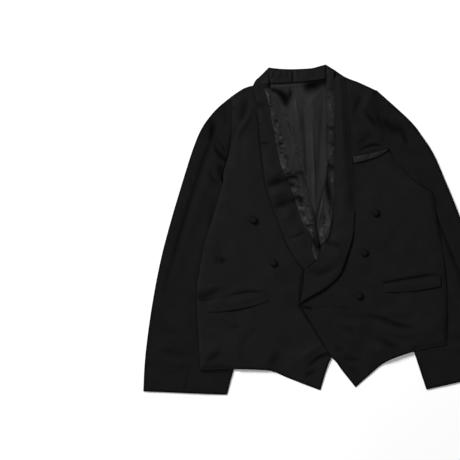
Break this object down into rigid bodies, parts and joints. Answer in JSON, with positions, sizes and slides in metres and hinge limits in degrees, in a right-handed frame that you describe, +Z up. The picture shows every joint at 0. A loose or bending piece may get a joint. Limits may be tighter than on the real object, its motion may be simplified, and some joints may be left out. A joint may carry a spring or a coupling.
{
  "type": "double-breasted shawl-collar evening jacket, laid flat",
  "caption": "Short black double-breasted evening jacket with a shawl collar and pointed fronts, laid flat on its back with its sleeves beside it.",
  "frame": {"origin": "on the centre-back line at chest level, on the flat underside of the back", "axes": "+X to the wearer's left, +Y towards the collar, +Z up from the surface that the jacket lies on"},
  "size_m": [0.835, 0.761, 0.0171],
  "materials": {
    "black_wool": "matte wool",
    "black_facing": "dull ribbed silk",
    "black_satin": "satin",
    "covered_button": "cloth-covered"
  },
  "bodies": {
    "root": {"sleeve_right_under": "black_wool", "sleeve_left_under": "black_wool", "collar_fall": "black_wool", "sleeve_right_top": "black_wool", "sleeve_left_top": "black_wool", "back": "black_wool", "lining_back": "black_satin", "front_right": "black_wool", "lining_right": "black_satin", "shawl_right": "black_facing", "stand_right": "black_facing", "stand_left": "black_facing", "front_left": "black_wool", "lining_left": "black_satin", "shawl_left": "black_facing", "breast_welt": "black_satin", "hip_welt_right": "black_wool", "hip_welt_left": "black_wool", "button_1": "covered_button", "button_2": "covered_button", "button_3": "covered_button", "button_4": "covered_button", "button_5": "covered_button"}
  },
  "joints": []
}
